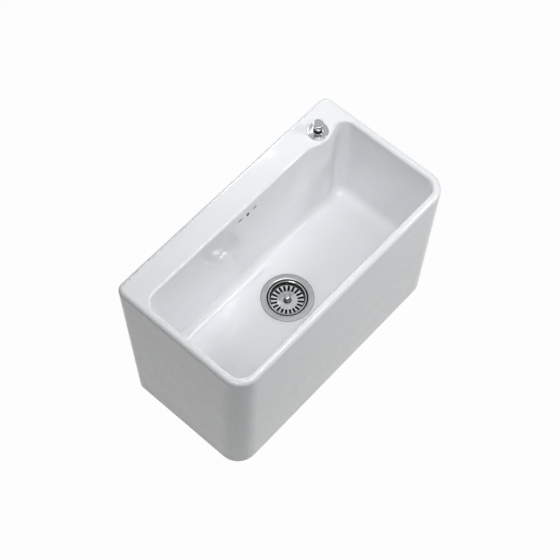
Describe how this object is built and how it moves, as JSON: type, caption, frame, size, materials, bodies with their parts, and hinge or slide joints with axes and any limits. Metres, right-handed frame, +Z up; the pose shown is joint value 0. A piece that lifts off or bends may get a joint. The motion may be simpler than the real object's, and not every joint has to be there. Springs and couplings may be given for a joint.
{
  "type": "mop sink",
  "caption": "Rectangular floor-standing glazed ceramic mop sink with a rear deck, overflow, lift-out strainer basket and a pull knob that opens and shuts the drain.",
  "frame": {"origin": "on the floor, under the middle of the sink's top outline", "axes": "+X along the sink's length, towards the knob; +Y from the front towards the wall; +Z up"},
  "size_m": [0.62, 0.335, 0.434],
  "materials": {
    "ceramic": "white gloss glaze",
    "steel": "satin stainless steel",
    "chrome": "polished chrome",
    "brass": "plain machined brass",
    "rubber": "matt black rubber",
    "grey_plastic": "moulded grey plastic",
    "hose_plastic": "pale grey plastic",
    "casing": "smooth black cable casing"
  },
  "bodies": {
    "sink": {"basin": "ceramic", "overflow_hood": "grey_plastic", "overflow_gasket": "rubber", "overflow_screw": "steel", "overflow_hose": "hose_plastic", "hose_clips": "steel", "flange_gasket": "rubber", "strainer_bowl": "steel", "body_gasket": "rubber", "drain_body": "grey_plastic", "guide_bolt": "steel", "tail_nut": "grey_plastic", "tail_washer": "rubber", "tail_pipe": "hose_plastic", "rocker_gland": "rubber", "cable_ferrule": "brass", "control_cable": "casing", "sleeve_ferrule": "brass", "knob_sleeve": "brass", "knob_backnut": "brass", "sleeve_washer": "rubber", "escutcheon": "chrome", "escutcheon_seal": "rubber"},
    "knob": {"knob_cap": "chrome", "knob_stem": "chrome", "pull_wire": "steel"},
    "wire_end": {"wire_end": "steel"},
    "rocker": {"rocker": "steel"},
    "lifter": {"lift_pin": "steel"},
    "basket": {"basket_cup": "steel", "basket_knob": "steel", "basket_seal": "rubber", "basket_nut": "steel"}
  },
  "joints": [
    {"name": "knob_pull", "type": "slide", "parent": "sink", "child": "knob", "axis": [0, 0, 1], "range_m": [-0.012, 0]},
    {"name": "rocker_turn", "type": "hinge", "parent": "sink", "child": "rocker", "pos_m": [-0.016, -0.0075, 0.082], "axis": [0, 1, 0], "range_deg": [0, 28.7]},
    {"name": "wire_slide", "type": "slide", "parent": "sink", "child": "wire_end", "axis": [1, 0, 0], "range_m": [-0.0121, 0]},
    {"name": "lifter_rise", "type": "slide", "parent": "sink", "child": "lifter", "axis": [0, 0, 1], "range_m": [-0.0081, 0]},
    {"name": "basket_lift", "type": "slide", "parent": "lifter", "child": "basket", "axis": [0, 0, 1], "range_m": [0, 0.29]}
  ],
  "couplings": [
    {"joint": "rocker_turn", "follows": "knob_pull", "rad_per_m": -41.666},
    {"joint": "wire_slide", "follows": "knob_pull", "ratio": 1},
    {"joint": "lifter_rise", "follows": "knob_pull", "ratio": 0.66666}
  ]
}
